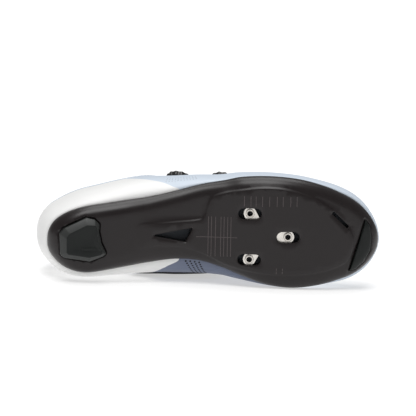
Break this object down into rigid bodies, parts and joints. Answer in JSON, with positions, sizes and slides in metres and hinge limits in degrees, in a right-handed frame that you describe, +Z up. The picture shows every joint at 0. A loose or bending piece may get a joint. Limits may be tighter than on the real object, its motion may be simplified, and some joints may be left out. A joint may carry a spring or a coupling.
{
  "type": "cycling shoe",
  "caption": "Right road cycling shoe lying on its inner side, with a stiff cleat sole, hollow upper, tongue, insole and lace dials.",
  "frame": {"origin": "centre of the bounding box at the floor, with the shoe lying on its inner side", "axes": "+X from the heel to the toe, -Y out of the sole's underside, +Z up towards the shoe's outer side"},
  "size_m": [0.283, 0.123, 0.0924],
  "materials": {
    "sole_nylon": "satin black moulded nylon",
    "upper_skin": "smooth pale microfibre, white heel and light blue forefoot",
    "tongue_cloth": "soft padded cloth",
    "insole_foam": "cloth on foam",
    "pad_rubber": "matt black rubber",
    "nut_steel": "bright plated steel",
    "strap_skin": "smooth black microfibre",
    "dial_plastic": "black moulded nylon",
    "wire_coat": "dark coated wire"
  },
  "bodies": {
    "shoe": {"sole": "sole_nylon", "upper": "upper_skin", "tongue": "tongue_cloth", "insole": "insole_foam", "heel_pad": "pad_rubber", "toe_pad": "pad_rubber", "instep_strap": "strap_skin", "dial_base_1": "dial_plastic", "dial_knob_1": "dial_plastic", "lace_wire_1": "wire_coat", "wire_guide_1": "dial_plastic", "dial_base_2": "dial_plastic", "dial_knob_2": "dial_plastic", "lace_wire_2": "wire_coat", "wire_guide_2": "dial_plastic"},
    "cleat_nuts": {"cleat_nut_plate": "nut_steel"}
  },
  "joints": [
    {"name": "nut_slide", "type": "slide", "parent": "shoe", "child": "cleat_nuts", "axis": [0.9925, -0.118, 0.0335], "range_m": [-0.005, 0.005]}
  ]
}
